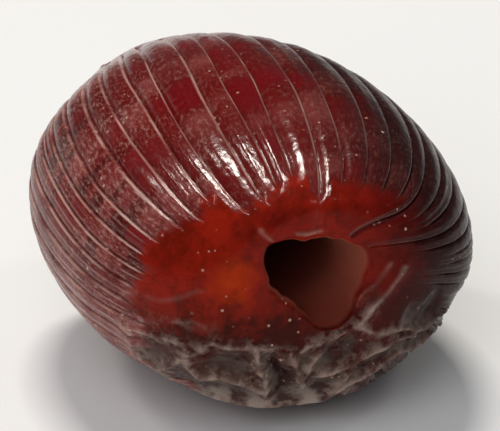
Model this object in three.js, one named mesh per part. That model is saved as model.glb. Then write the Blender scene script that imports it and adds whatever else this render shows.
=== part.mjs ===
// A candied jujube with its stone punched out: one soft fruit, scored lengthwise all round.
// Millimetres, +Z up. The fruit lies on its side with its length and its stone channel along Y, and
// its barer end towards -Y. The origin is the middle of the fruit's box, on the surface it rests on.
//
// The solid is one lathe about Y of a closed outline (skin, lip, channel wall, lip). Its points are
// then scored, made oval, turned about the length, pressed flat in places and set down.
import * as THREE from "three";

// The fruit, before it is pressed and set down
const length = 31; // end to end, over the two crowns
const width = 30.4; // across the wide way
const thickness = 24.2; // across the flat way
const endFullness = 2.25; // power of the long outline: 2 is an ellipse, more is blunter
const sectionFullness = 1.96; // the same for the cross-section
const rollDegrees = 11; // how far it is turned about its length, right side down
const restDepth = 0.7; // how much the soft underside flattens where it rests

// The channel left by the stone, and the hollow round each of its mouths
const channelRadius = 3.05;
const channelOffset = { x: -1.4, z: 2.5 }; // from the middle of the section, once it is turned
const channelReach = 12.5; // radius within which the flesh shifts along with the channel
const lipRadius = 1.1; // rounding between skin and channel wall
const ovalRun = 5.5; // distance out from the lip over which round passes into oval
const hollowDepth = 2.3;
const hollowRadius = 6.2;

// The scoring
const cutCount = 54;
const cutDepth = 0.42; // at a deep cut
const cutUnevenness = 0.45; // share of the depth that a shallow cut lacks
const unevenStep = 2.4; // radians of the uneven wave from one cut to the next
const cutShoulder = 0.27; // share of the pitch from the bottom of a cut to its shoulder
const cutTwistDegrees = 8; // how far the cuts wind round between the middle and an end
const cutFade = 0.16; // share of the half length over which a cut runs out
const cutsEnd = { back: 0.9, front: 0.8 }; // share of the half length that is scored
const frontBareTowards = -125; // degrees up from +X to where the bare front end reaches farthest
const frontBareReach = 0.17; // how much farther, as a share of the half length

// Where the fruit's neighbours in the heap pressed it flat: outward direction, and the depth that
// has gone from the middle of the flat
const presses = [
  { towards: [-0.52, -0.26, -0.82], depth: 0.4 }, // low on the left
  { towards: [0.61, -0.56, -0.55], depth: 0.9 }, // low at the right of the front
  { towards: [0.55, -0.8, -0.25], depth: 0.6 }, // at the right of the front
  { towards: [-0.05, -0.62, -0.78], depth: 0.4 }, // under the front
  { towards: [-0.45, 0.72, 0.53], depth: 0.6 }, // high at the left of the back
  { towards: [0.66, 0.6, 0.45], depth: 0.5 }, // high at the right of the back
];
const pressGive = 0.75; // share of what stands beyond a flat that has given way
const pressEdge = 0.9; // width over which skin bends into a flat

// How finely the surface is divided
const skinRows = 19;
const lipRows = 2;
const channelRows = 2;

const roundRadius = (width + thickness) / 4; // of the lathe, before its section is made oval
const halfLength = length / 2;
const roll = THREE.MathUtils.degToRad(rollDegrees);
const alongFruit = new THREE.Vector3(0, 1, 0);
const quarterTurn = Math.PI / 2;

// Distance from the centre to a superellipse of unit half-axes, in the direction of an angle.
function superellipse(angle, fullness) {
  const cosine = Math.abs(Math.cos(angle)) ** fullness;
  const sine = Math.abs(Math.sin(angle)) ** fullness;
  return (cosine + sine) ** (-1 / fullness);
}

// The skin from the front lip to the back lip, with each end sunk round its channel mouth.
function skinOutline() {
  const mouth = Math.asin((channelRadius + lipRadius) / roundRadius);
  const points = [];
  for (let row = 0; row < skinRows; row++) {
    const angle = THREE.MathUtils.lerp(mouth, Math.PI - mouth, row / (skinRows - 1));
    const reach = superellipse(angle, endFullness);
    const radius = Math.sin(angle) * reach * roundRadius;
    const sunk = hollowDepth * Math.exp(-((radius / hollowRadius) ** 2));
    const y = -Math.cos(angle) * reach * halfLength;
    points.push(new THREE.Vector2(radius, y - Math.sign(y) * sunk));
  }
  const crown = Math.max(...points.map((point) => point.y));
  for (const point of points) point.y *= halfLength / crown;
  return points;
}

// A quarter round from the edge of the skin into the channel, without its first point.
// inward is the way along Y that leads into the fruit.
function lipOutline(edge, inward) {
  const radius = edge.x - channelRadius;
  const points = [];
  for (let row = 1; row <= lipRows; row++) {
    const turn = (row / lipRows) * quarterTurn;
    const x = edge.x - radius * Math.sin(turn);
    points.push(new THREE.Vector2(x, edge.y + inward * radius * (1 - Math.cos(turn))));
  }
  return points;
}

function channelOutline(from, to) {
  const points = [];
  for (let row = 1; row <= channelRows; row++) {
    points.push(from.clone().lerp(to, row / (channelRows + 1)));
  }
  return points;
}

// The columns of the lathe: for each cut its bottom and the two shoulders of the strip beside it.
function skinColumns() {
  const columns = [];
  for (let cut = 0; cut < cutCount; cut++) {
    const evenness = 1 - (cutUnevenness * (1 + Math.sin(cut * unevenStep))) / 2;
    for (const [share, depth] of [
      [0, cutDepth * evenness],
      [cutShoulder, 0],
      [1 - cutShoulder, 0],
    ]) {
      columns.push({ turn: (2 * Math.PI * (cut + share)) / cutCount, depth });
    }
  }
  return columns;
}

// How much of a cut is left at a distance along the fruit, in a direction round its length.
function cutLeft(y, angle) {
  const out = Math.abs(y) / halfLength;
  const bare = angle - THREE.MathUtils.degToRad(frontBareTowards);
  const end = y > 0 ? cutsEnd.back : cutsEnd.front - frontBareReach * Math.cos(bare);
  return 1 - THREE.MathUtils.smoothstep(out, end - cutFade, end);
}

// Pushes the points of the skin back towards each flat that they stand beyond.
function pressFlat(points) {
  for (const { towards, depth } of presses) {
    const outward = new THREE.Vector3(...towards).normalize();
    const flat = Math.max(...points.map((point) => point.dot(outward))) - depth;
    for (const point of points) {
      const beyond = point.dot(outward) - flat;
      const eased = (beyond + Math.hypot(beyond, pressEdge)) / 2;
      point.addScaledVector(outward, -pressGive * eased);
    }
  }
}

// A point of the lathe made oval, wound by the twist of the cuts and turned onto its side. The
// channel and its lips stay round.
function placePoint(radius, y, turn) {
  const angle = turn - THREE.MathUtils.degToRad(cutTwistDegrees) * (y / halfLength);
  const roundTo = channelRadius + lipRadius / 2;
  const oval = THREE.MathUtils.smoothstep(radius, roundTo, roundTo + ovalRun);
  const section = THREE.MathUtils.lerp(1, superellipse(angle, sectionFullness), oval);
  const wide = THREE.MathUtils.lerp(1, width / 2 / roundRadius, oval);
  const flat = THREE.MathUtils.lerp(1, thickness / 2 / roundRadius, oval);
  const x = radius * Math.cos(angle) * section * wide;
  const z = radius * Math.sin(angle) * section * flat;
  return new THREE.Vector3(x, y, z).applyAxisAngle(alongFruit, roll);
}

function makeFruit() {
  const skin = skinOutline();
  const frontLip = lipOutline(skin[0], 1).reverse();
  const backLip = lipOutline(skin.at(-1), -1);
  const channel = channelOutline(backLip.at(-1), frontLip[0]);
  const outline = [...skin, ...backLip, ...channel, ...frontLip, skin[0]];
  const columns = skinColumns();

  const skinPoints = [];
  const points = [...columns, columns[0]].flatMap(({ turn, depth }) =>
    outline.map(({ x: radius, y }, row) => {
      const onSkin = row < skinRows || row === outline.length - 1;
      const cut = onSkin ? depth * cutLeft(y, -turn - roll) : 0;
      const point = placePoint(radius - cut, y, -turn);
      if (onSkin) skinPoints.push(point);
      return point;
    }),
  );
  pressFlat(skinPoints);

  const geometry = new THREE.LatheGeometry(outline, columns.length);
  const position = geometry.getAttribute("position");
  points.forEach((point, i) => {
    const radius = outline[i % outline.length].x;
    const near = 1 - THREE.MathUtils.smoothstep(radius, channelRadius + lipRadius, channelReach);
    point.x += channelOffset.x * near;
    point.z += channelOffset.z * near;
    position.setXYZ(i, ...point);
  });
  return setDown(geometry);
}

// Centres the fruit over the origin and flattens its underside onto z = 0.
function setDown(geometry) {
  geometry.computeBoundingBox();
  const middle = geometry.boundingBox.getCenter(new THREE.Vector3());
  const floor = geometry.boundingBox.min.z + restDepth;
  geometry.translate(-middle.x, -middle.y, -floor);
  const position = geometry.getAttribute("position");
  for (let i = 0; i < position.count; i++) {
    position.setZ(i, Math.max(position.getZ(i), 0));
  }
  geometry.computeVertexNormals();
  return geometry;
}

const fruit = new THREE.Mesh(
  makeFruit(),
  new THREE.MeshStandardMaterial({ color: 0x5e1712, roughness: 0.22, metalness: 0 }),
);
fruit.name = "pitted_jujube";

const part = new THREE.Group();
part.add(fruit);
export default part;
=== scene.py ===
import math

import bpy
import numpy as np
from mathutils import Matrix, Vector


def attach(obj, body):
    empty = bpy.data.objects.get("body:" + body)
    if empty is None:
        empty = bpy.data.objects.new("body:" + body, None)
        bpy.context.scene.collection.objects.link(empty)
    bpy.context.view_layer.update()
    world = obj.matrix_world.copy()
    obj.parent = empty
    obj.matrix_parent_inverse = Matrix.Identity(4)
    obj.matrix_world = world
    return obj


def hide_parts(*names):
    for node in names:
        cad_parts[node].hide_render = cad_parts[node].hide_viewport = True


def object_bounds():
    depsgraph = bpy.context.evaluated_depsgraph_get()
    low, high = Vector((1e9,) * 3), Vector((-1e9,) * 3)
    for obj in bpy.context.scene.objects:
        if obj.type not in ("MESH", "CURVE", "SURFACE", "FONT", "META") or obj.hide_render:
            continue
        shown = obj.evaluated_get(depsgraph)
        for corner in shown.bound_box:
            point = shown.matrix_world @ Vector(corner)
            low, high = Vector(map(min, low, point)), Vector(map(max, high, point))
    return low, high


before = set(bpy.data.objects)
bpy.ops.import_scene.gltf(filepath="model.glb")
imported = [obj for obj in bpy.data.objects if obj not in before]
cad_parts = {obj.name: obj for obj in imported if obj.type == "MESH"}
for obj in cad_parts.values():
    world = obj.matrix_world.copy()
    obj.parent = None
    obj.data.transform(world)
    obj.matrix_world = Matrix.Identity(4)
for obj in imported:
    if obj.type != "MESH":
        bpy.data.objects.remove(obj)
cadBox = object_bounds()
print("frame: loaded the packed fruit")

mm = 0.001


# a hex sRGB colour as Blender's linear RGBA
def hexColour(code):
    shares = [int(code[i:i + 2], 16) / 255 for i in (1, 3, 5)]
    linear = [s / 12.92 if s <= 0.04045 else ((s + 0.055) / 1.055) ** 2.4 for s in shares]
    return (*linear, 1)


# adds a node: feeds gives its inputs values, sockets, or nodes, whose first output in use is taken;
# settings are its properties
def addNode(tree, kind, feeds=None, **settings):
    node = tree.nodes.new(kind)
    for name, value in settings.items():
        setattr(node, name, value)
    for socket, value in (feeds or {}).items():
        if isinstance(value, bpy.types.Node):
            value = next(output for output in value.outputs if output.enabled)
        if isinstance(value, bpy.types.NodeSocket):
            tree.links.new(value, node.inputs[socket])
        else:
            node.inputs[socket].default_value = value
    return node


def smoothStep(value, low, high):
    share = np.clip((value - low) / (high - low), 0, 1)
    return share * share * (3 - 2 * share)


def bell(value, width):
    return np.exp(-(value / width) ** 2)


# The fruit's plain form is the solid's own closed outline, turned, pressed and set down.
fruit = {
    "length": 31.0,
    "width": 30.4,
    "thickness": 24.2,
    "endFullness": 2.25,
    "sectionFullness": 1.96,
    "rollDegrees": 11.0,
    "restDepth": 0.7,
    "channelRadius": 3.05,
    "channelOffset": (-1.4, 2.5),
    "channelReach": 12.5,
    "lipRadius": 0.6,
    "ovalRun": 5.5,
    "hollowDepth": 2.3,
    "hollowRadius": 6.2,
    "pressGive": 0.75,  # the share of what stands past a pressed flat that goes
    "skinRows": 168,
    "frontDensity": 0.5,  # spacing of the rows at the front end, as a share of the average
    "lipRows": 6,
    "channelRows": 20,
    "skinStart": (0.02, 0.3),  # how far out from the channel's wall the skin starts and is whole
    "seed": 7,
}

# flats that the neighbours in the heap left: outward direction, depth gone, width of the bend into it
presses = [
    ((-0.52, -0.26, -0.82), 0.4, 0.9),
    ((0.61, -0.56, -0.55), 0.9, 0.9),
    ((0.55, -0.8, -0.25), 0.6, 0.7),
    ((-0.05, -0.62, -0.78), 0.4, 0.5),
    ((-0.45, 0.72, 0.53), 0.6, 0.9),
    ((0.66, 0.6, 0.45), 0.5, 0.9),
]

# the cuts that the scoring wheel leaves along the fruit before it is boiled in syrup
scoreLines = {
    "count": 54,
    "columns": (0, 0.06, 0.16, 0.34, 0.46, 0.52, 0.7, 0.86, 0.94),  # mesh columns, as shares of a strip
    "twistDegrees": 8.0,
    "spread": 0.25,  # how unequal neighbouring strips are
    "broadTowards": 100.0,  # degrees up from +X, where the strips are broadest
    "broadShare": 0.32,
    "wander": 0.06,  # shares of a strip that a cut strays from its line
    "waves": (23.0, 11.0, 6.0),
    "fade": 0.12,  # share of the half length over which a cut runs out
    "backEnd": 0.92,
    "frontEnd": 0.84,
    "frontBareTowards": -125.0,
    "frontBareReach": 0.17,
    "endSpread": 0.09,
    "finestTowards": (200, 42),  # degrees, and how far to each side
    "roundestTowards": (98, 50),
    "leastRound": 0.3,
}

# folds of the shrunken skin on each end, as x and z along each, with its height: below 0 is a crease
frontFolds = [
    (0.32, (1.9, 9.8), (2.6, 10.5), (3.4, 11.4), (5.4, 13.6)),
    (0.16, (1.1, 10.9), (2.6, 12.5), (4.3, 14.3)),
    (0.24, (1.6, 9.7), (3.5, 8.9), (5.9, 8.3), (8.3, 7.3), (10.6, 7.6)),
    (0.30, (-0.6, 6.1), (1.9, 6.6), (3.4, 7.3), (5.3, 7.5), (7.2, 7.3)),
    (0.28, (0.9, 3.1), (1.8, 3.9), (3.0, 4.9), (4.0, 5.7), (5.6, 6.1), (8.3, 5.7), (10.4, 6.0)),
    (0.22, (0.9, 3.1), (1.5, 4.9), (1.9, 6.6)),
    (0.28, (-12.9, 9.4), (-12.6, 8.7), (-11.4, 6.6), (-10.6, 6.1), (-9.8, 8.4), (-8.7, 10.0)),
    (0.20, (-8.7, 10.0), (-7.3, 9.7), (-5.8, 9.5)),
    (0.22, (-10.0, 9.0), (-9.3, 7.4), (-8.6, 6.2)),
    (0.28, (-8.6, 6.2), (-7.6, 6.8), (-5.9, 5.9), (-4.5, 5.0)),
    (0.26, (-5.8, 9.5), (-5.2, 8.1), (-4.5, 6.0), (-3.6, 3.9)),
    (-0.50, (-4.2, 8.7), (-3.5, 6.8), (-2.4, 3.9)),
    (0.26, (-2.7, 8.4), (-2.1, 6.5), (-1.5, 4.8)),
    (0.18, (-2.1, 5.6), (-1.4, 6.7), (-0.9, 8.1)),
    (0.24, (-8.0, 3.0), (-5.3, 3.0), (-3.6, 2.9), (-1.6, 2.5), (0.9, 3.1)),
    (0.18, (-10.6, 6.1), (-9.6, 4.8), (-8.0, 3.0)),
    (0.16, (-12.7, 9.6), (-11.8, 9.8), (-10.5, 9.9), (-9.8, 9.1)),
    (0.14, (-5.8, 9.5), (-4.2, 8.8), (-2.7, 8.4), (-0.6, 9.2), (1.6, 9.7)),
    (0.24, (-5.1, 18.1), (-4.4, 17.3), (-3.6, 16.9)),
    (0.22, (-2.6, 17.7), (-1.8, 17.3), (-0.9, 17.6)),
    (0.05, (-12.5, 12.8), (-11.5, 13.0), (-10.3, 13.7), (-9.1, 14.1)),
    (0.05, (-12.2, 10.6), (-11.0, 11.7), (-9.7, 11.6), (-8.9, 11.3)),
]
backFolds = [
    (0.30, (-9.8, 6.9), (-6.0, 7.8), (-2.5, 7.0), (1.5, 7.9), (6.0, 7.2), (9.5, 8.4)),
    (0.26, (-6.0, 7.8), (-4.6, 4.6), (-4.0, 2.6)),
    (0.28, (1.5, 7.9), (2.8, 5.2), (2.2, 3.0)),
    (0.22, (6.0, 7.2), (7.0, 4.6)),
    (0.22, (-9.8, 6.9), (-8.2, 4.4), (-4.6, 4.6)),
    (-0.45, (-1.2, 6.8), (-0.6, 4.4), (0.4, 3.0)),
    (0.22, (-6.9, 10.6), (-5.4, 12.0), (-4.4, 12.8)),
    (0.24, (2.0, 16.4), (3.8, 17.6), (5.0, 19.2)),
    (0.16, (-4.4, 16.8), (-5.8, 18.4)),
    (0.22, (2.4, 11.4), (4.0, 9.6), (4.6, 7.6)),
]

foldShape = {
    "crestWidth": 0.2,
    "footWidth": 0.75,
    "crestPart": 0.65,  # of the height, the rest is in the foot
    "paleWidth": 0.16,
    "paleHeight": 0.3,  # a fold this high has a whole pale crest
    "bends": ((0.12, 1.7, 1.3), (0.04, 4.7, 0.0)),  # reach, turns in a mm and start of the bends in each line
}

# the crumpled skin low on each end
crumple = {
    "frontTop": 9.2,
    "backTop": 7.2,
    "edgeWaves": ((0.9, 0.9, 1.0), (0.5, 2.3, 0.0)),
    "edgeRun": (-1.6, 0.6),
    "foldRun": (5, 9),  # how far along the fruit folds start and are whole
    "lowRun": (3, 8),
    "cutHold": 0.7,  # how much the cuts hold the skin out
    "panelSag": 0.65,  # how deep the skin sinks between folds
    "panelReach": 1.3,
    "bandWidth": 0.55,  # the dry band beside a fold
    "bandRun": (1, 4),
    "foldHold": 0.8,  # how much a fold pulls the skin beside it tight
    "foldHoldReach": 2.2,
    "tautShare": 0.75,  # it dried smooth towards +X
    "tautRun": (6, 10),
}

# how far the mouth's rim stands out past the round channel
mouth = {
    "corners": [  # direction up from +X, distance, spread in degrees
        (140, 1.15, 22),
        (12, 0.9, 30),
        (-62, 1.1, 26),
        (228, -1.0, 36),
        (88, -0.25, 24),
    ],
    "pleats": (7, 11, 16),  # how many of each kind go round
    "pleatHeight": 0.13,
    "wallReach": 1.7,
    "depth": (0.6, 3.4),
    "backShare": 0.5,
}


def superellipse(angle, fullness):
    return (np.abs(np.cos(angle)) ** fullness + np.abs(np.sin(angle)) ** fullness) ** (-1 / fullness)


# radius and y of the closed outline, and which of its rows are skin
def fruitOutline():
    f = fruit
    roundRadius = (f["width"] + f["thickness"]) / 4
    opening = math.asin((f["channelRadius"] + f["lipRadius"]) / roundRadius)
    share = np.linspace(0, 1, f["skinRows"])
    share = share * (f["frontDensity"] + (1 - f["frontDensity"]) * share)
    angle = opening + (math.pi - 2 * opening) * share
    reach = superellipse(angle, f["endFullness"])
    radius = np.sin(angle) * reach * roundRadius
    y = -np.cos(angle) * reach * f["length"] / 2
    y -= np.sign(y) * f["hollowDepth"] * bell(radius, f["hollowRadius"])
    y *= f["length"] / 2 / y.max()

    turn = np.linspace(0, math.pi / 2, f["lipRows"] + 1)[1:]
    lip = radius[0] - f["channelRadius"]
    backRadius = radius[-1] - lip * np.sin(turn)
    backY = y[-1] - lip * (1 - np.cos(turn))
    channelY = np.linspace(backY[-1], -backY[-1], f["channelRows"] + 2)[1:-1]
    outlineRadius = np.concatenate(
        [radius, backRadius, np.full(f["channelRows"], f["channelRadius"]), backRadius[::-1]])
    outlineY = np.concatenate([y, backY, channelY, -backY[::-1]])
    isSkin = np.arange(len(outlineY)) < f["skinRows"]
    return outlineRadius, outlineY, isSkin, roundRadius


# each column's place among the cuts, and its angle: cuts stray a little along the fruit
def fruitColumns(random, y):
    s = scoreLines
    middle = -(np.arange(s["count"]) + 0.5) / s["count"] * 2 * math.pi
    towards = math.radians(s["broadTowards"] + fruit["rollDegrees"])
    widths = 1 + s["broadShare"] * np.cos(middle - towards)
    widths *= 1 + s["spread"] * random.uniform(-1, 1, s["count"])
    edges = np.concatenate([[0], np.cumsum(widths)]) / widths.sum() * 2 * math.pi
    place = (np.arange(s["count"])[:, None] + np.array(s["columns"])[None, :]).ravel()
    angle = -np.interp(place, np.arange(s["count"] + 1), edges)

    phase = random.uniform(0, 2 * math.pi, (len(s["waves"]), s["count"]))
    stray = sum(np.sin(2 * math.pi * y[:, None] / wave + phase[n]) / (n + 1) ** 2
                for n, wave in enumerate(s["waves"]))
    stray = np.concatenate([stray, stray[:, :1]], 1)
    cut = np.floor(place).astype(int)
    share = place - cut
    stray = stray[:, cut] * (1 - share) + stray[:, cut + 1] * share
    return place, angle[None, :] + stray * s["wander"] * 2 * math.pi / s["count"]


# how strongly each point is scored: the cuts end short of the mouths, shorter still low on the front
def scoredShare(random, place, around, y, isSkin):
    s = scoreLines
    half = fruit["length"] / 2
    cut = (np.rint(place).astype(int) % s["count"])[None, :]
    uneven = s["endSpread"] * random.uniform(-1, 1, (2, s["count"]))
    bare = np.cos(around - math.radians(s["frontBareTowards"]))
    frontEnd = s["frontEnd"] - s["frontBareReach"] * bare + uneven[0][cut]
    end = np.where(y > 0, s["backEnd"] + uneven[1][cut], frontEnd)
    return (1 - smoothStep(np.abs(y) / half, end - s["fade"], end)) * isSkin[:, None]


def pressFlats(points, skin):
    for towards, depth, bend in presses:
        outward = np.array(towards) / np.linalg.norm(towards)
        flat = (points[skin] @ outward).max() - depth
        beyond = points[skin] @ outward - flat
        eased = (beyond + np.hypot(beyond, bend)) / 2
        points[skin] -= fruit["pressGive"] * eased[:, None] * outward


# the mouth's rim isn't round, and is pleated where the flesh tore
def tearMouths(random, points, radius, y):
    m = mouth
    around = np.arctan2(points[..., 2], points[..., 0])
    rim = np.zeros_like(radius)
    for towards, out, spread in m["corners"]:
        rim += out * bell((np.degrees(around) - towards + 180) % 360 - 180, spread)
    pleats = sum(np.sin(k * around + random.uniform(0, 6)) for k in m["pleats"]) / len(m["pleats"])
    rim += m["pleatHeight"] * pleats
    rim *= np.where(y < 0, 1.0, m["backShare"])
    rim *= 1 - smoothStep(fruit["length"] / 2 - np.abs(y), *m["depth"])
    rim *= bell(radius - fruit["channelRadius"], m["wallReach"])
    points[..., 0] += rim * np.cos(around)
    points[..., 2] += rim * np.sin(around)


# how far the folds stand up, how near each point is to a crest, and the distance to the nearest fold:
# a narrow crest on a wider foot along each line, none quite straight
def foldsOn(points, lines):
    s = foldShape
    flatPlace = points[..., [0, 2]]
    bend = sum(reach * np.sin(flatPlace * turns + start) for reach, turns, start in s["bends"])
    flatPlace = flatPlace + bend[..., ::-1]
    raised, crest = np.zeros(points.shape[:2]), np.zeros(points.shape[:2])
    nearest = np.full(points.shape[:2], np.inf)
    for height, *line in lines:
        off = np.full(points.shape[:2], np.inf)
        for start, end in zip(line, line[1:]):
            start, run = np.array(start), np.array(end) - np.array(start)
            share = np.clip((flatPlace - start) @ run / (run @ run), 0, 1)
            off = np.minimum(off, np.linalg.norm(flatPlace - start - share[..., None] * run, axis=-1))
        crestPart = s["crestPart"] * bell(off, s["crestWidth"])
        raised += height * (crestPart + (1 - s["crestPart"]) * bell(off, s["footWidth"]))
        if height > 0:
            nearest = np.minimum(nearest, off)
            crest = np.maximum(crest, height / s["paleHeight"] * bell(off, s["paleWidth"]))
    return raised, crest, nearest


# the folds on the two ends, and how crumpled and how loose the bare skin low on them is
def crumpleEnds(points, skin, scored):
    c = crumple
    x, y, z = points[..., 0], points[..., 1], points[..., 2]
    values = {name: np.zeros_like(x) for name in ("fold", "crest", "crumpled", "foot", "loose")}
    for end, lines, top in ((-1, frontFolds, c["frontTop"]), (1, backFolds, c["backTop"])):
        onEnd = skin * smoothStep(end * y, *c["foldRun"])
        raised, crest, nearest = foldsOn(points, lines)
        edge = top + sum(reach * np.sin(x * turns + start) for reach, turns, start in c["edgeWaves"])
        low = 1 - smoothStep(z - edge, *c["edgeRun"])
        low *= smoothStep(end * y, *c["lowRun"]) * skin * (1 - c["cutHold"] * scored)
        sag = c["panelSag"] * (1 - np.exp(-nearest / c["panelReach"]))
        foot = bell(nearest, c["bandWidth"]) * (1 - smoothStep(z - edge, *c["bandRun"]))
        held = c["foldHold"] * bell(nearest, c["foldHoldReach"]) * onEnd
        values["fold"] += raised * onEnd - sag * low
        values["crest"] += crest * onEnd
        values["crumpled"] += low
        values["foot"] += foot * onEnd
        values["loose"] += low * (1 - held) * (1 - c["tautShare"] * smoothStep(x, *c["tautRun"]))
    return values


def makePlainFruit():
    f = fruit
    random = np.random.default_rng(f["seed"])
    outlineRadius, outlineY, isSkin, roundRadius = fruitOutline()
    place, columnAngle = fruitColumns(random, outlineY)
    rows, columns = len(outlineY), len(place)
    radius = np.repeat(outlineRadius[:, None], columns, 1)
    y = np.repeat(outlineY[:, None], columns, 1)
    skin = np.repeat(isSkin[:, None], columns, 1)
    angle = columnAngle - math.radians(scoreLines["twistDegrees"]) * y / (f["length"] / 2)

    roundTo = f["channelRadius"] + f["lipRadius"] / 2
    oval = smoothStep(radius, roundTo, roundTo + f["ovalRun"])
    section = 1 + oval * (superellipse(angle, f["sectionFullness"]) - 1)
    x = radius * np.cos(angle) * section * (1 + oval * (f["width"] / 2 / roundRadius - 1))
    z = radius * np.sin(angle) * section * (1 + oval * (f["thickness"] / 2 / roundRadius - 1))
    roll = math.radians(f["rollDegrees"])
    points = np.stack([x * math.cos(roll) + z * math.sin(roll), y,
                       -x * math.sin(roll) + z * math.cos(roll)], -1)
    pressFlats(points, skin)
    tearMouths(random, points, radius, y)

    near = 1 - smoothStep(radius, f["channelRadius"] + f["lipRadius"], f["channelReach"])
    points[..., [0, 2]] += near[..., None] * f["channelOffset"]
    low, high = points.reshape(-1, 3).min(0), points.reshape(-1, 3).max(0)
    middle = (low + high) / 2
    points -= (middle[0], middle[1], low[2] + f["restDepth"])

    mesh = bpy.data.meshes.new("plainFruit")
    index = np.arange(rows * columns).reshape(rows, columns)
    right = np.roll(index, -1, 1)
    quads = np.stack([index, right, np.roll(right, -1, 0), np.roll(index, -1, 0)], -1).reshape(-1, 4)
    mesh.from_pydata((points.reshape(-1, 3) * mm).tolist(), [], quads.tolist())

    # what the skin is like at each point
    s = scoreLines
    scored = scoredShare(random, place, angle - roll, y, isSkin)
    towards = np.degrees(angle - roll) % 360
    finest, roundest = s["finestTowards"], s["roundestTowards"]
    values = {
        "stripPlace": np.broadcast_to(place, (rows, columns)),
        "scored": scored,
        "finely": bell(towards - finest[0], finest[1]),
        "rounded": s["leastRound"] + (1 - s["leastRound"]) * bell(towards - roundest[0], roundest[1]),
        "skin": smoothStep(radius - f["channelRadius"], *f["skinStart"]),
        **crumpleEnds(points, skin, scored),
    }
    for name, value in values.items():
        layer = mesh.attributes.new(name, "FLOAT", "POINT")
        layer.data.foreach_set("value", np.ascontiguousarray(value, dtype=np.float32).ravel())
    piece = bpy.data.objects.new("jujube_skin", mesh)
    bpy.context.scene.collection.objects.link(piece)
    return piece


# Jujube skin and flesh boiled in sugar syrup until clear, then dried with the syrup on it. Light goes
# a few millimetres in and comes back red, and the hard syrup film gives small sharp glints.
candied = {
    "mahogany": "#2A0908",
    "skinRed": "#640E0C",
    "cutFleshAndShade": "#5E0806",
    "paleSyrupAndEdgeGlint": "#CDA79C",
    "driedSyrupAndFoldSheen": "#B4A296",
    "milkyFilm": "#93504C",
    "crimson": "#6A0610",
    "bareEnd": "#881A0C",
    "bareDarkAndShade": "#3A0A04",
    "paintedGlow": "#A62D00",
    "crumpledSkin": "#38110C",
    "panelShade": "#210505",
    "channelWall": "#8C4A3A",
    "channelLowShade": "#703226",
    "sugarGlint": "#E6BEA8",
    "shadedSide": "#240807",
    "patchStrength": 0.5,
    "filmStretch": (7.31, 4.5),  # how far apart two strips lie in the noise, then its length in mm
    "shortStretch": (4.37, 2.3256),
    "raggedReach": 1.1,  # how far the end of the scored skin is ragged, as a share of the cuts' strength
    "glowMiddle": (-6.9, -15.3, 14.6),  # where the flesh is thinnest, beside the mouth
    "glowRagged": 5.0,
    "speckleWidth": 0.13,  # share of a strip
    "speckleLength": 0.55,
    "fineCutAt": 0.56,  # across a strip, 0 to 1
    "grainSpacing": 0.75,
    "grainSpread": 0.22,  # how unequal grains are
    "glintsAt": (-3.9, -15.4, 10.6),
    "glintsMore": 0.03,
    "crinkleHeight": 0.009,
    "dashesAcross": 4.5,  # on a strip
    "dashLength": 1.0,
    "dashHeight": 0.03,
    "peelHeight": 0.034,
    "fleshIor": 1.4,
    "skinGloss": 0.04,  # next to none of its own, as the syrup on it bends light about as much
    "glossTint": "#FFD6BC",
    "filmIor": 1.49,
    "filmWeight": 0.3,
    "filmWhole": (0, 0.6),  # how scored the skin is where the film starts and is whole
    "filmRoughness": 0.15,
    "scatterShare": 0.35,
    "scatterReach": (1.0, 0.2, 0.08),
    "scatterDepth": 1.2,
}

# noises in space: size in mm, detail and roughness
skinNoises = {
    "patches": (6.5, 4, 0.6),
    "edgePatches": (3.5, 1, 0.5),
    "ragged": (1.8, 3, 0.5),
    "thickFlesh": (2.6, 5, 0.7),
    "dryBands": (0.9, 4, 0.65),
    "grainPatches": (3.0, 1, 0.5),
    "crinkle": (0.36, 3, 0.6),
    "peel": (1.1, 2, 0.5),
}

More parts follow.
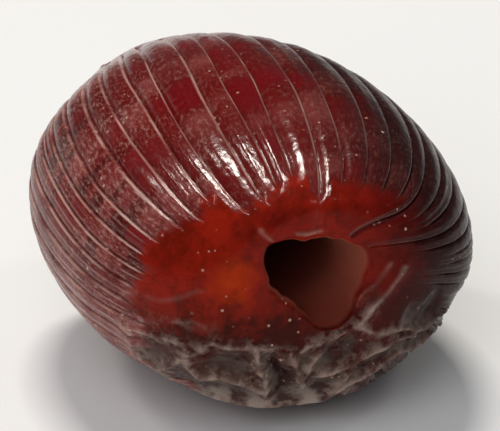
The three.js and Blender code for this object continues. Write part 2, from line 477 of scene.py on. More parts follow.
# shares that follow a reading: where it starts and ends, then the share at each. across, along and
# upwards are mm towards +X, +Y and +Z, what is near a spot is mm from it, and the rest has no unit
skinShares = {
    # the next two darken the skin towards +X and the back: partly its own tone, partly painted shade
    "darkSideShade": (-1, 11, 0, 0.6),  # across
    "darkBackShade": (-4, 6, 0, 0.12),  # along
    "lively": (-0.2, 0.25, 0, 1),
    "clearStrip": (0.46, 0.34, 0, 0.8),
    "cloudy": (0.48, 0.64, 0, 0.42),
    "cloudySide": (-7, -13, 0, 0.1),  # across
    "darkStretch": (0.51, 0.56, 0, 0.6),
    "darkPart": (-10, -12.5, 0, 1),  # across
    "darkHigh": (12, 15, 0, 1),  # upwards
    "paleEdgePatches": (0.36, 0.6, 0.1, 0.7),
    "edgeStart": (0.87, 0.92, 0, 1),
    "edgeEnd": (0.99, 0.95, 0, 1),
    "fineEdge": (0.07, 0.02, 0, 0.8),
    "speckleSide": (-3, -11, 0.3, 1),  # across
    "speckled": (0.38, 0.5, 0.15, 1),
    "lightSpeckle": (0.5, 0.7, 0, 0.35),
    "darkSpeckle": (0.48, 0.3, 0, 0.5),
    "bare": (1.3, 0.75, 0, 1),
    "thickFlesh": (0.38, 0.56, 0.6, 0),
    "lowEnd": (13.5, 9.5, 0, 1),  # upwards
    "nearGlow": (4.7, 2.4, 0, 1),  # near a spot
    "crumpledSkin": (0.15, 0.5, 0, 1),
    "sunkPanel": (-0.04, -0.3, 0, 1),
    "ridgeSheen": (0.35, 0.6, 0.2, 0.22),
    "crestSheen": (0.35, 0.6, 0.1, 0.5),
    "rimReflectionPatches": (0.4, 0.58, 0.1, 0.9),
    "rimReflection": (5.5, 2.5, 0.15, 1),  # upwards
    "dryBand": (0.45, 0.6, 0, 0.32),
    "shadedSide": (3, 11, 0, 0.78),  # across
    "nearGlints": (3.2, 1.2, 0, 1),  # near a spot
    "grain": (0.02, -0.04, 0, 1),
    "grainPatch": (0.47, 0.6, 0, 0.6),
    "grainClear": (0.1, 0.9, 0.15, 1),
    "wallHigh": (11, 14.5, 0, 1),  # upwards
    "dashed": (0, 1, 0.7, 1),
    "rougher": (0, 1, 2.5, 1),
    "bareFilm": (-8, 6, 0.12, 0.3),  # along
    "wet": (2, 9, 1, 0.3),  # across
    "wetBehind": (-1, 6, 0, 1),  # along
    "dryHigh": (17, 21, 0, 1),  # upwards
    "dryBehind": (-8, -4, 0, -0.6),  # along
    "dryUntil": (4, 9, 1, 0),  # along
    "ranFront": (-4, -8.5, 0, 0.32),  # along
    "ranHigh": (15, 18.5, 0, 1),  # upwards
    "thickBehind": (7.5, 11, 1, 2.3),  # along
    "inChannel": (0, 1, 0.1, 1),
    "tornWall": (0, 1, 0.75, 0),
    "dryness": (0.3, 0.7, 0.2, 0.34),
}


# the readings that the skin's nodes share: places in mm, the stored attributes and the noises
def takeReadings(tree):
    place = addNode(tree, "ShaderNodeTexCoord").outputs["Object"]
    place = addNode(tree, "ShaderNodeVectorMath", {0: place, "Scale": 1 / mm}, operation="SCALE")
    axes = addNode(tree, "ShaderNodeSeparateXYZ", {0: place}).outputs
    at = dict(zip(("across", "along", "upwards"), axes), place=place)
    for name in ("stripPlace", "scored", "groove", "finely", "crumpled",
                 "fold", "crest", "foot", "ridge", "skin"):
        at[name] = addNode(tree, "ShaderNodeAttribute", attribute_name=name).outputs["Fac"]
    for name, (size, detail, roughness) in skinNoises.items():
        at[name] = addNode(tree, "ShaderNodeTexNoise",
                           {"Vector": place, "Scale": 1 / size, "Detail": detail, "Roughness": roughness})
    return at


# the layers that lie over the scored skin, each with the shares whose product it covers
def scoredLayers(tree, at, shares):
    c = candied
    # lively in patches, darker and drier between them, and darker towards +X and the back, partly the skin's
    # own darker tone and partly painted shade
    lively = addNode(tree, "ShaderNodeMath", {0: at["patches"], 1: c["patchStrength"]}, operation="MULTIPLY")
    for name, reading in (("darkSideShade", "across"), ("darkBackShade", "along")):
        darker = addNode(tree, "ShaderNodeMapRange", {0: at[reading], **shares[name]})
        lively = addNode(tree, "ShaderNodeMath", {0: lively, 1: darker}, operation="SUBTRACT")
    lively = addNode(tree, "ShaderNodeMapRange", {0: lively, **shares["lively"]})

    # each strip is clear and crimson in some stretches, cloudy with dried syrup in others, and towards -X
    # short stretches are dark and bare of film
    strip = addNode(tree, "ShaderNodeMath", {0: at["stripPlace"]}, operation="FLOOR")
    stretchPlace = addNode(tree, "ShaderNodeCombineXYZ", {0: strip, 1: at["along"]})
    stretches = []
    for step, length in (c["filmStretch"], c["shortStretch"]):
        stretch = addNode(tree, "ShaderNodeVectorMath", {0: stretchPlace, 1: (step, 1 / length, 1)},
                          operation="MULTIPLY")
        stretch = addNode(tree, "ShaderNodeTexNoise", {"Vector": stretch, "Scale": 1.0, "Detail": 1.0})
        stretches.append(stretch)
    stretch, shortStretch = stretches
    clearStrip = addNode(tree, "ShaderNodeMapRange", {0: stretch, **shares["clearStrip"]})
    cloudy = addNode(tree, "ShaderNodeMapRange", {0: stretch, **shares["cloudy"]})
    cloudySide = addNode(tree, "ShaderNodeMapRange", {0: at["across"], **shares["cloudySide"]})
    cloudy = addNode(tree, "ShaderNodeMath", {0: cloudy, 1: cloudySide}, operation="ADD")
    darkStretch = addNode(tree, "ShaderNodeMapRange", {0: shortStretch, **shares["darkStretch"]})
    darkPart = addNode(tree, "ShaderNodeMapRange", {0: at["across"], **shares["darkPart"]})
    darkHigh = addNode(tree, "ShaderNodeMapRange", {0: at["upwards"], **shares["darkHigh"]})

    # dried syrup is speckled with fine crystals along the cuts, most of all towards -X
    specklePlace = addNode(tree, "ShaderNodeCombineXYZ", {0: at["stripPlace"], 1: at["along"]})
    specklePlace = addNode(tree, "ShaderNodeVectorMath",
                           {0: specklePlace, 1: (1 / c["speckleWidth"], 1 / c["speckleLength"], 1)},
                           operation="MULTIPLY")
    speckle = addNode(tree, "ShaderNodeTexNoise",
                      {"Vector": specklePlace, "Scale": 1.0, "Detail": 2.0, "Roughness": 0.7})
    speckleSide = addNode(tree, "ShaderNodeMapRange", {0: at["across"], **shares["speckleSide"]})
    speckled = addNode(tree, "ShaderNodeMapRange", {0: stretch, **shares["speckled"]})
    lightSpeckle = addNode(tree, "ShaderNodeMapRange", {0: speckle, **shares["lightSpeckle"]})
    darkSpeckle = addNode(tree, "ShaderNodeMapRange", {0: speckle, **shares["darkSpeckle"]})

    # and the curled edge of each strip and the fine cuts are drawn pale, partly dried syrup and partly a
    # painted highlight along the edge
    across = addNode(tree, "ShaderNodeMath", {0: at["stripPlace"]}, operation="FRACT")
    fineEdge = addNode(tree, "ShaderNodeMath", {0: across, 1: c["fineCutAt"]}, operation="SUBTRACT")
    fineEdge = addNode(tree, "ShaderNodeMath", {0: fineEdge}, operation="ABSOLUTE")
    fineEdge = addNode(tree, "ShaderNodeMapRange", {0: fineEdge, **shares["fineEdge"]})
    fineEdge = addNode(tree, "ShaderNodeMath", {0: fineEdge, 1: at["finely"]}, operation="MULTIPLY")
    edgeStart = addNode(tree, "ShaderNodeMapRange", {0: across, **shares["edgeStart"]})
    edgeEnd = addNode(tree, "ShaderNodeMapRange", {0: across, **shares["edgeEnd"]})
    edgeLine = addNode(tree, "ShaderNodeMath", {0: edgeStart, 1: edgeEnd}, operation="MULTIPLY")
    edgeLine = addNode(tree, "ShaderNodeMath", {0: edgeLine, 1: fineEdge}, operation="MAXIMUM")
    paleEdgePatches = addNode(tree, "ShaderNodeMapRange", {0: at["edgePatches"], **shares["paleEdgePatches"]})
    return lively, [
        ("skinRed", lively),
        ("crimson", clearStrip, lively),
        ("milkyFilm", cloudy, lively, at["scored"]),
        ("mahogany", darkStretch, darkPart, darkHigh, at["scored"]),
        # the grooves are drawn darker: partly the cut flesh, partly painted shade in the cuts
        ("cutFleshAndShade", at["groove"], lively),
        ("paleSyrupAndEdgeGlint", lightSpeckle, speckleSide, speckled, at["scored"]),
        ("mahogany", darkSpeckle, speckleSide, speckled, at["scored"]),
        ("paleSyrupAndEdgeGlint", paleEdgePatches, edgeLine, at["scored"], lively),
    ]


# the layers on the bare ends: clearer and redder, darker in random patches and darker low down as painted
# shade, a painted orange glow where the flesh is thin beside the mouth, crumpled lower down, and painted
# shade towards +X
def bareLayers(tree, at, shares, lively):
    c = candied
    bare = addNode(tree, "ShaderNodeMath", {0: at["ragged"], 1: c["raggedReach"], 2: at["scored"]},
                   operation="MULTIPLY_ADD")
    bare = addNode(tree, "ShaderNodeMapRange", {0: bare, **shares["bare"]})
    thick = addNode(tree, "ShaderNodeMapRange", {0: at["thickFlesh"], **shares["thickFlesh"]})
    # darker low on the end: painted shade; the thick-flesh noise darkens it in random patches as well
    lowEnd = addNode(tree, "ShaderNodeMapRange", {0: at["upwards"], **shares["lowEnd"]})
    thick = addNode(tree, "ShaderNodeMath", {0: lowEnd, 1: thick}, operation="ADD", use_clamp=True)
    bareFlesh = addNode(tree, "ShaderNodeMix",
                        {0: thick, 6: hexColour(c["bareEnd"]), 7: hexColour(c["bareDarkAndShade"])},
                        data_type="RGBA")
    # the orange glow beside the mouth is painted light, as of light shining through the thin flesh
    nearGlow = addNode(tree, "ShaderNodeVectorMath", {0: at["place"], 1: c["glowMiddle"]},
                        operation="DISTANCE")
    nearGlow = addNode(tree, "ShaderNodeMath", {0: at["ragged"], 1: c["glowRagged"], 2: nearGlow},
                        operation="MULTIPLY_ADD")
    nearGlow = addNode(tree, "ShaderNodeMapRange", {0: nearGlow, **shares["nearGlow"]},
                        interpolation_type="SMOOTHSTEP")

    # where it crumpled the panels between the folds sank; the ridges and crests are drawn pale, partly dried
    # syrup and partly painted highlights, the low rim pale as a painted reflection of the table, and a band
    # beside each fold paler
    crumpled = addNode(tree, "ShaderNodeMath", {0: at["ragged"], 1: at["crumpled"]}, operation="MULTIPLY")
    crumpled = addNode(tree, "ShaderNodeMapRange", {0: crumpled, **shares["crumpledSkin"]})
    # the sunk panels between the folds are drawn darker: painted shade
    sunk = addNode(tree, "ShaderNodeMapRange", {0: at["fold"], **shares["sunkPanel"]})
    crumpledSkin = addNode(tree, "ShaderNodeMix",
                           {0: sunk, 6: hexColour(c["crumpledSkin"]), 7: hexColour(c["panelShade"])},
                           data_type="RGBA")
    ridgeSheen = addNode(tree, "ShaderNodeMapRange", {0: at["ragged"], **shares["ridgeSheen"]})
    crestSheen = addNode(tree, "ShaderNodeMapRange", {0: at["ragged"], **shares["crestSheen"]})
    rimReflectionPatches = addNode(tree, "ShaderNodeMapRange", {0: at["ragged"], **shares["rimReflectionPatches"]})
    rimReflection = addNode(tree, "ShaderNodeMapRange", {0: at["upwards"], **shares["rimReflection"]})
    dryBand = addNode(tree, "ShaderNodeMapRange", {0: at["dryBands"], **shares["dryBand"]})
    shadedSide = addNode(tree, "ShaderNodeMapRange", {0: at["across"], **shares["shadedSide"]})
    return [
        (bareFlesh, bare, lively),
        ("paintedGlow", nearGlow),
        (crumpledSkin, crumpled),
        ("driedSyrupAndFoldSheen", ridgeSheen, at["ridge"]),
        ("driedSyrupAndFoldSheen", crestSheen, at["crest"]),
        ("driedSyrupAndFoldSheen", rimReflectionPatches, rimReflection, at["crumpled"]),
        ("driedSyrupAndFoldSheen", dryBand, at["foot"]),
        ("shadedSide", shadedSide),
    ]


# pale specks, partly grains of sugar that came out of the syrup and partly painted glints, drawn a little
# larger than life so that they show, and more of them near one spot low on the front
def sugarGlintLayer(tree, at, shares):
    c = candied
    place = at["place"]
    grains = addNode(tree, "ShaderNodeTexVoronoi", {"Vector": place, "Scale": 1 / c["grainSpacing"]}).outputs
    nearGlints = addNode(tree, "ShaderNodeVectorMath", {0: place, 1: c["glintsAt"]}, operation="DISTANCE")
    nearGlints = addNode(tree, "ShaderNodeMapRange", {0: nearGlints, **shares["nearGlints"]})
    size = grains["Distance"]
    for reading, more in ((grains["Color"], c["grainSpread"]), (nearGlints, c["glintsMore"])):
        size = addNode(tree, "ShaderNodeMath", {0: reading, 1: -more, 2: size}, operation="MULTIPLY_ADD")
    grain = addNode(tree, "ShaderNodeMapRange", {0: size, **shares["grain"]})
    patch = addNode(tree, "ShaderNodeMapRange", {0: at["grainPatches"], **shares["grainPatch"]})
    patch = addNode(tree, "ShaderNodeMath", {0: patch, 1: nearGlints}, operation="MAXIMUM")
    # some grains are clearer than others
    clear = addNode(tree, "ShaderNodeSeparateColor", {0: grains["Color"]}).outputs["Green"]
    clear = addNode(tree, "ShaderNodeMapRange", {0: clear, **shares["grainClear"]})
    return ("sugarGlint", grain, patch, clear)


# dashes along the cuts and fine crinkles of the dried film, and a softer orange peel under them
def filmBumps(tree, at, shares):
    c = candied
    dashes = addNode(tree, "ShaderNodeCombineXYZ", {0: at["stripPlace"], 1: at["along"]})
    dashes = addNode(tree, "ShaderNodeVectorMath",
                     {0: dashes, 1: (c["dashesAcross"], 1 / c["dashLength"], 1)}, operation="MULTIPLY")
    dashes = addNode(tree, "ShaderNodeTexNoise", {"Vector": dashes, "Scale": 1.0, "Detail": 2.0})
    dashed = addNode(tree, "ShaderNodeMapRange", {0: at["scored"], **shares["dashed"]})
    dashes = addNode(tree, "ShaderNodeMath", {0: dashes, 1: dashed}, operation="MULTIPLY")
    rougher = addNode(tree, "ShaderNodeMapRange", {0: at["scored"], **shares["rougher"]})
    crinkle = addNode(tree, "ShaderNodeMath", {0: at["crinkle"], 1: rougher}, operation="MULTIPLY")
    bumps = addNode(tree, "ShaderNodeBump",
                    {"Height": dashes, "Distance": c["dashHeight"] * mm, "Strength": 1.0})
    for height, distance in ((crinkle, c["crinkleHeight"]), (at["peel"], c["peelHeight"])):
        bumps = addNode(tree, "ShaderNodeBump",
                        {"Height": height, "Distance": distance * mm, "Strength": 1.0, "Normal": bumps})
    return bumps


# the film is thin on the bare front, drier high up behind it and towards +X, and thick at the back end;
# it ran down the cuts and set thickest near the upper front end
def filmThickness(tree, at, shares):
    low, high = candied["filmWhole"]
    bareFilm = addNode(tree, "ShaderNodeMapRange", {0: at["along"], **shares["bareFilm"]})
    film = addNode(tree, "ShaderNodeMapRange",
                   {0: at["scored"], 1: low, 2: high, 3: bareFilm, 4: candied["filmWeight"]})
    dry = addNode(tree, "ShaderNodeMapRange", {0: at["upwards"], **shares["dryHigh"]})
    for name in ("dryBehind", "dryUntil"):
        factor = addNode(tree, "ShaderNodeMapRange", {0: at["along"], **shares[name]})
        dry = addNode(tree, "ShaderNodeMath", {0: dry, 1: factor}, operation="MULTIPLY")
    film = addNode(tree, "ShaderNodeMath", {0: film, 1: dry, 2: film}, operation="MULTIPLY_ADD")
    ran = addNode(tree, "ShaderNodeMapRange", {0: at["along"], **shares["ranFront"]})
    ranHigh = addNode(tree, "ShaderNodeMapRange", {0: at["upwards"], **shares["ranHigh"]})
    ran = addNode(tree, "ShaderNodeMath", {0: ran, 1: ranHigh}, operation="MULTIPLY")
    film = addNode(tree, "ShaderNodeMath", {0: ran, 1: at["scored"], 2: film}, operation="MULTIPLY_ADD")
    wet = addNode(tree, "ShaderNodeMapRange", {0: at["across"], **shares["wet"]})
    wetBehind = addNode(tree, "ShaderNodeMapRange", {0: at["along"], **shares["wetBehind"]})
    wet = addNode(tree, "ShaderNodeMath", {0: wet, 1: wetBehind}, operation="MAXIMUM")
    thick = addNode(tree, "ShaderNodeMapRange", {0: at["along"], **shares["thickBehind"]})
    inside = addNode(tree, "ShaderNodeMapRange", {0: at["skin"], **shares["inChannel"]})
    for factor in (wet, thick, inside):
        film = addNode(tree, "ShaderNodeMath", {0: film, 1: factor}, operation="MULTIPLY")
    return film


def makeCandiedSkin():
    c = candied
    material = bpy.data.materials.new("candiedJujubeSkin")
    material.use_nodes = True
    tree = material.node_tree
    shader = tree.nodes["Principled BSDF"]
    at = takeReadings(tree)
    shares = {name: dict(enumerate(limits, 1)) for name, limits in skinShares.items()}

    colour = hexColour(c["mahogany"])
    lively, layers = scoredLayers(tree, at, shares)
    layers += bareLayers(tree, at, shares, lively)
    layers.append(sugarGlintLayer(tree, at, shares))
    for over, cover, *factors in layers:
        for factor in factors:
            cover = addNode(tree, "ShaderNodeMath", {0: cover, 1: factor}, operation="MULTIPLY")
        over = hexColour(c[over]) if isinstance(over, str) else over
        colour = addNode(tree, "ShaderNodeMix", {0: cover, 6: colour, 7: over}, data_type="RGBA")
    # the channel's wall is drawn darker low down: painted shade
    wallHigh = addNode(tree, "ShaderNodeMapRange", {0: at["upwards"], **shares["wallHigh"]})
    wall = addNode(tree, "ShaderNodeMix",
                   {0: wallHigh, 6: hexColour(c["channelLowShade"]), 7: hexColour(c["channelWall"])},
                   data_type="RGBA")
    colour = addNode(tree, "ShaderNodeMix", {0: at["skin"], 6: wall, 7: colour}, data_type="RGBA")

    # the punched wall is torn flesh with next to no film on it
    dryness = addNode(tree, "ShaderNodeMapRange", {0: at["peel"], **shares["dryness"]})
    torn = addNode(tree, "ShaderNodeMapRange", {0: at["skin"], **shares["tornWall"]})
    dryness = addNode(tree, "ShaderNodeMath", {0: dryness, 1: torn}, operation="MAXIMUM")
    bumps = filmBumps(tree, at, shares)
    film = filmThickness(tree, at, shares)
    for name, made in (("Base Color", colour.outputs[2]), ("Roughness", dryness.outputs[0]),
                       ("Coat Weight", film.outputs[0]), ("Normal", bumps.outputs[0]),
                       ("Coat Normal", bumps.outputs[0])):
        tree.links.new(made, shader.inputs[name])

    shader.inputs["IOR"].default_value = c["fleshIor"]
    shader.inputs["Specular IOR Level"].default_value = c["skinGloss"]
    shader.inputs["Specular Tint"].default_value = hexColour(c["glossTint"])
    shader.inputs["Coat Roughness"].default_value = c["filmRoughness"]
    shader.inputs["Coat IOR"].default_value = c["filmIor"]
    shader.inputs["Subsurface Weight"].default_value = c["scatterShare"]
    shader.inputs["Subsurface Radius"].default_value = c["scatterReach"]
    shader.inputs["Subsurface Scale"].default_value = c["scatterDepth"] * mm
    print("fruit: candied skin mixed")
    return material


# the cuts, crinkles and crumples that follow a rule
relief = {
    "Cut Depth": 0.25,
    "Depth Spread": 0.5,
    "Strip Crown": 0.26,
    "Fine Cut Depth": 0.26,
    "Crinkle Height": 0.05,
    "Crinkle Size": 0.9,
    "Crumple Height": 0.5,
    "Crumple Size": 4.5,
    "Small Crumple Height": 0.13,
    "Small Crumple Size": 1.7,
    "Highest Rise": 0.25,
    "Seed": 11,
}

# a strip's height from cut to cut: 0 at the bottom of the cut, with the far edge curled up
stripProfile = [(0, 0.0), (0.06, 0.4), (0.16, 0.75), (0.34, 0.88), (0.52, 0.94), (0.7, 0.94),
                (0.86, 0.95), (0.94, 1.0), (1, 0.0)]

# what shapes the relief beside its inputs
reliefRule = {
    "depthWave": 0.16,  # waves per mm along which a cut runs deeper and shallower
    "crownAt": 0.55,  # across a strip, 0 to 1
    "fineCutAt": 0.52,
    "fineCutShare": (-0.5, 1.0),  # drawn for each strip, which has a fine cut where it is above 0
    "crinkleMiddle": 0.55,  # the value that leaves the skin where it is
    "dentMiddle": 1.1,
    "noiseRoughness": 0.55,
    "warpWave": 0.13,  # waves per mm that bend the crumples
    "warpReach": 4.0,
    "softTop": 0.15,
    "smallRidge": 0.5,
}

# shares that follow a reading: where it starts and ends, then the share at each
reliefShares = {
    "runsDeep": (0.3, 0.55, 0.7, 1),
    "fineCut": (0, 0.08, 1, 0),
    "finer": (0, 1, 0.35, 1),
    "taut": (0, 1, 1, 0.25),
    "rougher": (0, 1, 2.2, 1),  # on the channel's wall
    "ridge": (0, 0.3, 1, 0),
}


def makeReliefTree():
    tree = bpy.data.node_groups.new("scoredSkin", "GeometryNodeTree")
    face = tree.interface
    face.new_socket("Geometry", in_out="INPUT", socket_type="NodeSocketGeometry")
    for name, value in relief.items():
        kind = "NodeSocketInt" if isinstance(value, int) else "NodeSocketFloat"
        face.new_socket(name, in_out="INPUT", socket_type=kind)
    face.new_socket("Material", in_out="INPUT", socket_type="NodeSocketMaterial")
    face.new_socket("Geometry", in_out="OUTPUT", socket_type="NodeSocketGeometry")
    given = addNode(tree, "NodeGroupInput").outputs

    r = reliefRule
    shares = {name: dict(enumerate(limits, 1)) for name, limits in reliefShares.items()}
    at = {}
    for name in ("stripPlace", "scored", "finely", "rounded", "crumpled", "fold", "loose", "skin"):
        at[name] = addNode(tree, "GeometryNodeInputNamedAttribute", {"Name": name}).outputs[0]
    place = addNode(tree, "GeometryNodeInputPosition")
    place = addNode(tree, "ShaderNodeVectorMath", {0: place, "Scale": 1 / mm}, operation="SCALE")

    # the strip's profile, as deep as the nearest cut is
    across = addNode(tree, "ShaderNodeMath", {0: at["stripPlace"]}, operation="FRACT")
    profile = addNode(tree, "ShaderNodeFloatCurve", {"Value": across})
    curve = profile.mapping.curves[0]
    for n, (share, height) in enumerate(stripProfile):
        point = curve.points[n] if n < 2 else curve.points.new(share, height)
        point.location = (share, height)
        point.handle_type = "VECTOR"
    profile.mapping.update()
    nearest = addNode(tree, "ShaderNodeMath", {0: at["stripPlace"]}, operation="ROUND")
    cutName = addNode(tree, "ShaderNodeMath", {0: nearest, 1: float(scoreLines["count"])}, operation="MODULO")
    shallow = addNode(tree, "FunctionNodeRandomValue",
                      {3: given["Depth Spread"], "ID": cutName, "Seed": given["Seed"]}).outputs[1]
    runsDeep = addNode(tree, "ShaderNodeTexNoise", {"Vector": place, "Scale": r["depthWave"], "Detail": 1.0})
    runsDeep = addNode(tree, "ShaderNodeMapRange", {0: runsDeep, **shares["runsDeep"]})
    depth = addNode(tree, "ShaderNodeMath", {0: 1.0, 1: shallow}, operation="SUBTRACT")
    groove = addNode(tree, "ShaderNodeMath", {0: 1.0, 1: profile}, operation="SUBTRACT")
    for factor in (depth, at["scored"], runsDeep):
        groove = addNode(tree, "ShaderNodeMath", {0: groove, 1: factor}, operation="MULTIPLY")
    drop = addNode(tree, "ShaderNodeMath", {0: groove, 1: given["Cut Depth"]}, operation="MULTIPLY")

    # where the strips are broad they are rounder too
    crown = addNode(tree, "ShaderNodeMath", {0: across, 1: 2.0, 2: -2 * r["crownAt"]},
                    operation="MULTIPLY_ADD")
    crown = addNode(tree, "ShaderNodeMath", {0: crown, 1: crown}, operation="MULTIPLY")
    for factor in (given["Strip Crown"], at["rounded"], at["scored"]):
        crown = addNode(tree, "ShaderNodeMath", {0: crown, 1: factor}, operation="MULTIPLY")
    drop = addNode(tree, "ShaderNodeMath", {0: crown, 1: drop}, operation="ADD")

    # a fainter cut in the middle of about half the strips
    strip = addNode(tree, "ShaderNodeMath", {0: at["stripPlace"]}, operation="FLOOR")
    low, high = r["fineCutShare"]
    fineShare = addNode(tree, "FunctionNodeRandomValue",
                        {2: low, 3: high, "ID": strip, "Seed": given["Seed"]}).outputs[1]
    fineShare = addNode(tree, "ShaderNodeMath", {0: fineShare, 1: 0.0}, operation="MAXIMUM")
    fineCut = addNode(tree, "ShaderNodeMath", {0: across, 1: r["fineCutAt"]}, operation="SUBTRACT")
    fineCut = addNode(tree, "ShaderNodeMath", {0: fineCut}, operation="ABSOLUTE")
    fineCut = addNode(tree, "ShaderNodeMapRange", {0: fineCut, **shares["fineCut"]})
    finer = addNode(tree, "ShaderNodeMapRange", {0: at["finely"], **shares["finer"]})
    for factor in (fineShare, at["scored"], finer, given["Fine Cut Depth"]):
        fineCut = addNode(tree, "ShaderNodeMath", {0: fineCut, 1: factor}, operation="MULTIPLY")
    drop = addNode(tree, "ShaderNodeMath", {0: drop, 1: fineCut}, operation="ADD")

    # crinkles all over the skin
    scale = addNode(tree, "ShaderNodeMath", {0: 1.0, 1: given["Crinkle Size"]}, operation="DIVIDE")
    crinkle = addNode(tree, "ShaderNodeTexNoise",
                      {"Vector": place, "Scale": scale, "Detail": 2.0, "Roughness": r["noiseRoughness"]})
    crinkle = addNode(tree, "ShaderNodeMath", {0: crinkle, 1: -r["crinkleMiddle"]}, operation="ADD")
    taut = addNode(tree, "ShaderNodeMapRange", {0: at["crumpled"], **shares["taut"]})
    rougher = addNode(tree, "ShaderNodeMapRange", {0: at["skin"], **shares["rougher"]})
    for factor in (given["Crinkle Height"], taut, rougher):
        crinkle = addNode(tree, "ShaderNodeMath", {0: crinkle, 1: factor}, operation="MULTIPLY")
    rise = addNode(tree, "ShaderNodeMath", {0: crinkle, 1: drop}, operation="SUBTRACT")
    rise = addNode(tree, "ShaderNodeMath", {0: rise, 1: at["fold"]}, operation="ADD")

    # dents between sharp ridges where the bare skin crumpled, in two sizes
    warp = addNode(tree, "ShaderNodeTexNoise", {"Vector": place, "Scale": r["warpWave"], "Detail": 1.0})
    warped = addNode(tree, "ShaderNodeVectorMath",
                     {0: warp.outputs["Color"], 1: (r["warpReach"],) * 3, 2: place},
                     operation="MULTIPLY_ADD")
    ridges = []
    for size in ("Crumple", "Small Crumple"):
        scale = addNode(tree, "ShaderNodeMath", {0: 1.0, 1: given[size + " Size"]}, operation="DIVIDE")
        dent, second = [addNode(tree, "ShaderNodeTexVoronoi", {"Vector": warped, "Scale": scale},
                                distance="MANHATTAN", feature=feature) for feature in ("F1", "F2")]
        gap = addNode(tree, "ShaderNodeMath", {0: second, 1: dent}, operation="SUBTRACT")
        gap = addNode(tree, "ShaderNodeMath", {0: gap, 1: given[size + " Size"]}, operation="MULTIPLY")
        ridges.append(addNode(tree, "ShaderNodeMapRange", {0: gap, **shares["ridge"]}))
        dent = addNode(tree, "ShaderNodeMath", {0: dent, 1: -r["dentMiddle"]}, operation="ADD")
        dent = addNode(tree, "ShaderNodeMath", {0: dent, 1: given[size + " Height"]}, operation="MULTIPLY")
        rise = addNode(tree, "ShaderNodeMath", {0: dent, 1: at["loose"], 2: rise}, operation="MULTIPLY_ADD")
    ridge = addNode(tree, "ShaderNodeMath", {0: ridges[1], 1: r["smallRidge"]}, operation="MULTIPLY")
    ridge = addNode(tree, "ShaderNodeMath", {0: ridges[0], 1: ridge}, operation="MAXIMUM")
    ridge = addNode(tree, "ShaderNodeMath", {0: ridge, 1: at["loose"]}, operation="MULTIPLY")

    rise = addNode(tree, "ShaderNodeMath", {0: rise, 1: given["Highest Rise"], 2: r["softTop"]},
                   operation="SMOOTH_MIN")
    rise = addNode(tree, "ShaderNodeMath", {0: rise, 1: mm}, operation="MULTIPLY")
    outward = addNode(tree, "GeometryNodeInputNormal").outputs[0]
    offset = addNode(tree, "ShaderNodeVectorMath", {0: outward, "Scale": rise}, operation="SCALE")
    skin = given["Geometry"]
    for name, value in (("ridge", ridge), ("groove", groove)):
        skin = addNode(tree, "GeometryNodeStoreNamedAttribute",
                       {"Geometry": skin, "Name": name, "Value": value})
    skin = addNode(tree, "GeometryNodeSetPosition", {"Geometry": skin, "Offset": offset})
    skin = addNode(tree, "GeometryNodeSetShadeSmooth", {"Geometry": skin})
    skin = addNode(tree, "GeometryNodeRealizeInstances", {"Geometry": skin})
    skin = addNode(tree, "GeometryNodeSetMaterial", {"Geometry": skin, "Material": given["Material"]})
    addNode(tree, "NodeGroupOutput", {"Geometry": skin})
    return tree


def raiseRelief(piece, material):
    modifier = piece.modifiers.new("relief", "NODES")
    modifier.node_group = makeReliefTree()
    wanted = {**relief, "Material": material}
    for socket in modifier.node_group.interface.items_tree:
        if socket.in_out == "INPUT" and socket.name in wanted:
            modifier[socket.identifier] = wanted[socket.name]
    made = piece.evaluated_get(bpy.context.evaluated_depsgraph_get())
    mesh = bpy.data.meshes.new_from_object(made)
    piece.modifiers.clear()
    piece.data = mesh

    # the underside stays on the table
    points = np.zeros(len(mesh.vertices) * 3, np.float32)
    mesh.vertices.foreach_get("co", points)
    points[2::3] = np.maximum(points[2::3], 0)
    mesh.vertices.foreach_set("co", points)
    mesh.update()
    return piece


jujube = raiseRelief(makePlainFruit(), makeCandiedSkin())
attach(jujube, "root")
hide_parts("pitted_jujube")
print("fruit: skin made,", len(jujube.data.polygons), "faces")


# a pale table, a lamp above, small ones round the fruit, a soft fill from the front left
studio = {
    "tableSize": 6.0,  # metres, as all of the studio
    "tableColour": "#F6F7F8",
    "tableRoughness": 0.7,
    "tableGloss": 0.2,
    "roomStrength": 0.15,
    "glintTint": "#FFF9F0",
    "fillTint": "#FAFCFF",
}

# azimuth and elevation as the camera's, distance, width, height, watts, whether it glints on the glaze
lamps = {
    "keyLamp": (175.0, 73.0, 0.60, 0.17, 0.06, 2.0, True),
    "leftLamp": (235.0, 53.0, 0.60, 0.05, 0.10, 0.40, True),
    "rightLamp": (62.0, 55.0, 0.60, 0.05, 0.10, 0.16, True),
    "backRim": (205.0, 12.0, 0.70, 0.12, 0.20, 0.10, True),
    "frontFill": (-40.0, 40.0, 0.70, 0.5, 0.5, 2.0, False),
}


# the direction from the fruit towards something at an azimuth and elevation
def direction(azimuth, elevation):
    a, e = math.radians(azimuth), math.radians(elevation)
    return Vector((math.sin(a) * math.cos(e), -math.cos(a) * math.cos(e), math.sin(e)))


# turns an object so that its -Z side faces the aim
def faceTo(thing, aim):
    thing.rotation_mode = "QUATERNION"
    thing.rotation_quaternion = (aim - thing.location).to_track_quat("-Z", "Y")


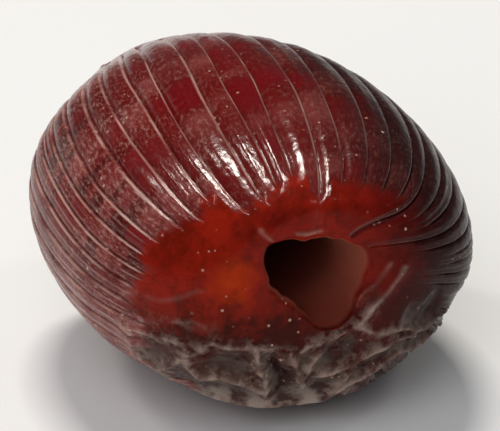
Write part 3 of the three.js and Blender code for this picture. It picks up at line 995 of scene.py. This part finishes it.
def makeStudio(aim):
    s = studio
    bpy.ops.mesh.primitive_plane_add(size=s["tableSize"])
    table = bpy.context.object
    table.name = "table"
    # satin laminate: pale, even, with next to no gloss
    laminate = bpy.data.materials.new("paleLaminate")
    laminate.use_nodes = True
    shader = laminate.node_tree.nodes["Principled BSDF"]
    shader.inputs["Base Color"].default_value = hexColour(s["tableColour"])
    shader.inputs["Roughness"].default_value = s["tableRoughness"]
    shader.inputs["Specular IOR Level"].default_value = s["tableGloss"]
    table.data.materials.append(laminate)

    room = bpy.data.worlds.new("room")
    room.use_nodes = True
    room.node_tree.nodes["Background"].inputs["Color"].default_value = (1, 1, 1, 1)
    room.node_tree.nodes["Background"].inputs["Strength"].default_value = s["roomStrength"]
    bpy.context.scene.world = room

    for name, (azimuth, elevation, distance, width, height, power, glints) in lamps.items():
        data = bpy.data.lights.new(name, "AREA")
        data.shape = "RECTANGLE"
        data.size = width
        data.size_y = height
        data.energy = power
        data.color = hexColour(s["glintTint"] if glints else s["fillTint"])[:3]
        lamp = bpy.data.objects.new(name, data)
        lamp.location = aim + direction(azimuth, elevation) * distance
        lamp.visible_glossy = glints
        faceTo(lamp, aim)
        bpy.context.scene.collection.objects.link(lamp)


camera = {
    "azimuth": -21.3,
    "elevation": 25.0,
    "distance": 350.0,
    "fieldWidth": 35.5,  # what the picture's width takes in at the fruit
    "sensorWidth": 36.0,
    "seesFrom": 10.0,
    "seesTo": 20000.0,
}


def makeCamera(aim):
    c = camera
    data = bpy.data.cameras.new("camera")
    data.sensor_width = c["sensorWidth"]
    data.lens = c["sensorWidth"] * c["distance"] / c["fieldWidth"]
    data.clip_start = c["seesFrom"] * mm
    data.clip_end = c["seesTo"] * mm
    stand = bpy.data.objects.new("camera", data)
    stand.location = aim + direction(c["azimuth"], c["elevation"]) * c["distance"] * mm
    faceTo(stand, aim)
    bpy.context.scene.collection.objects.link(stand)
    bpy.context.scene.camera = stand


fruitMiddle = (cadBox[0] + cadBox[1]) / 2
makeStudio(fruitMiddle)
makeCamera(fruitMiddle)
bpy.context.scene.view_settings.view_transform = "Standard"
print("studio: table, lamps, room and camera set")
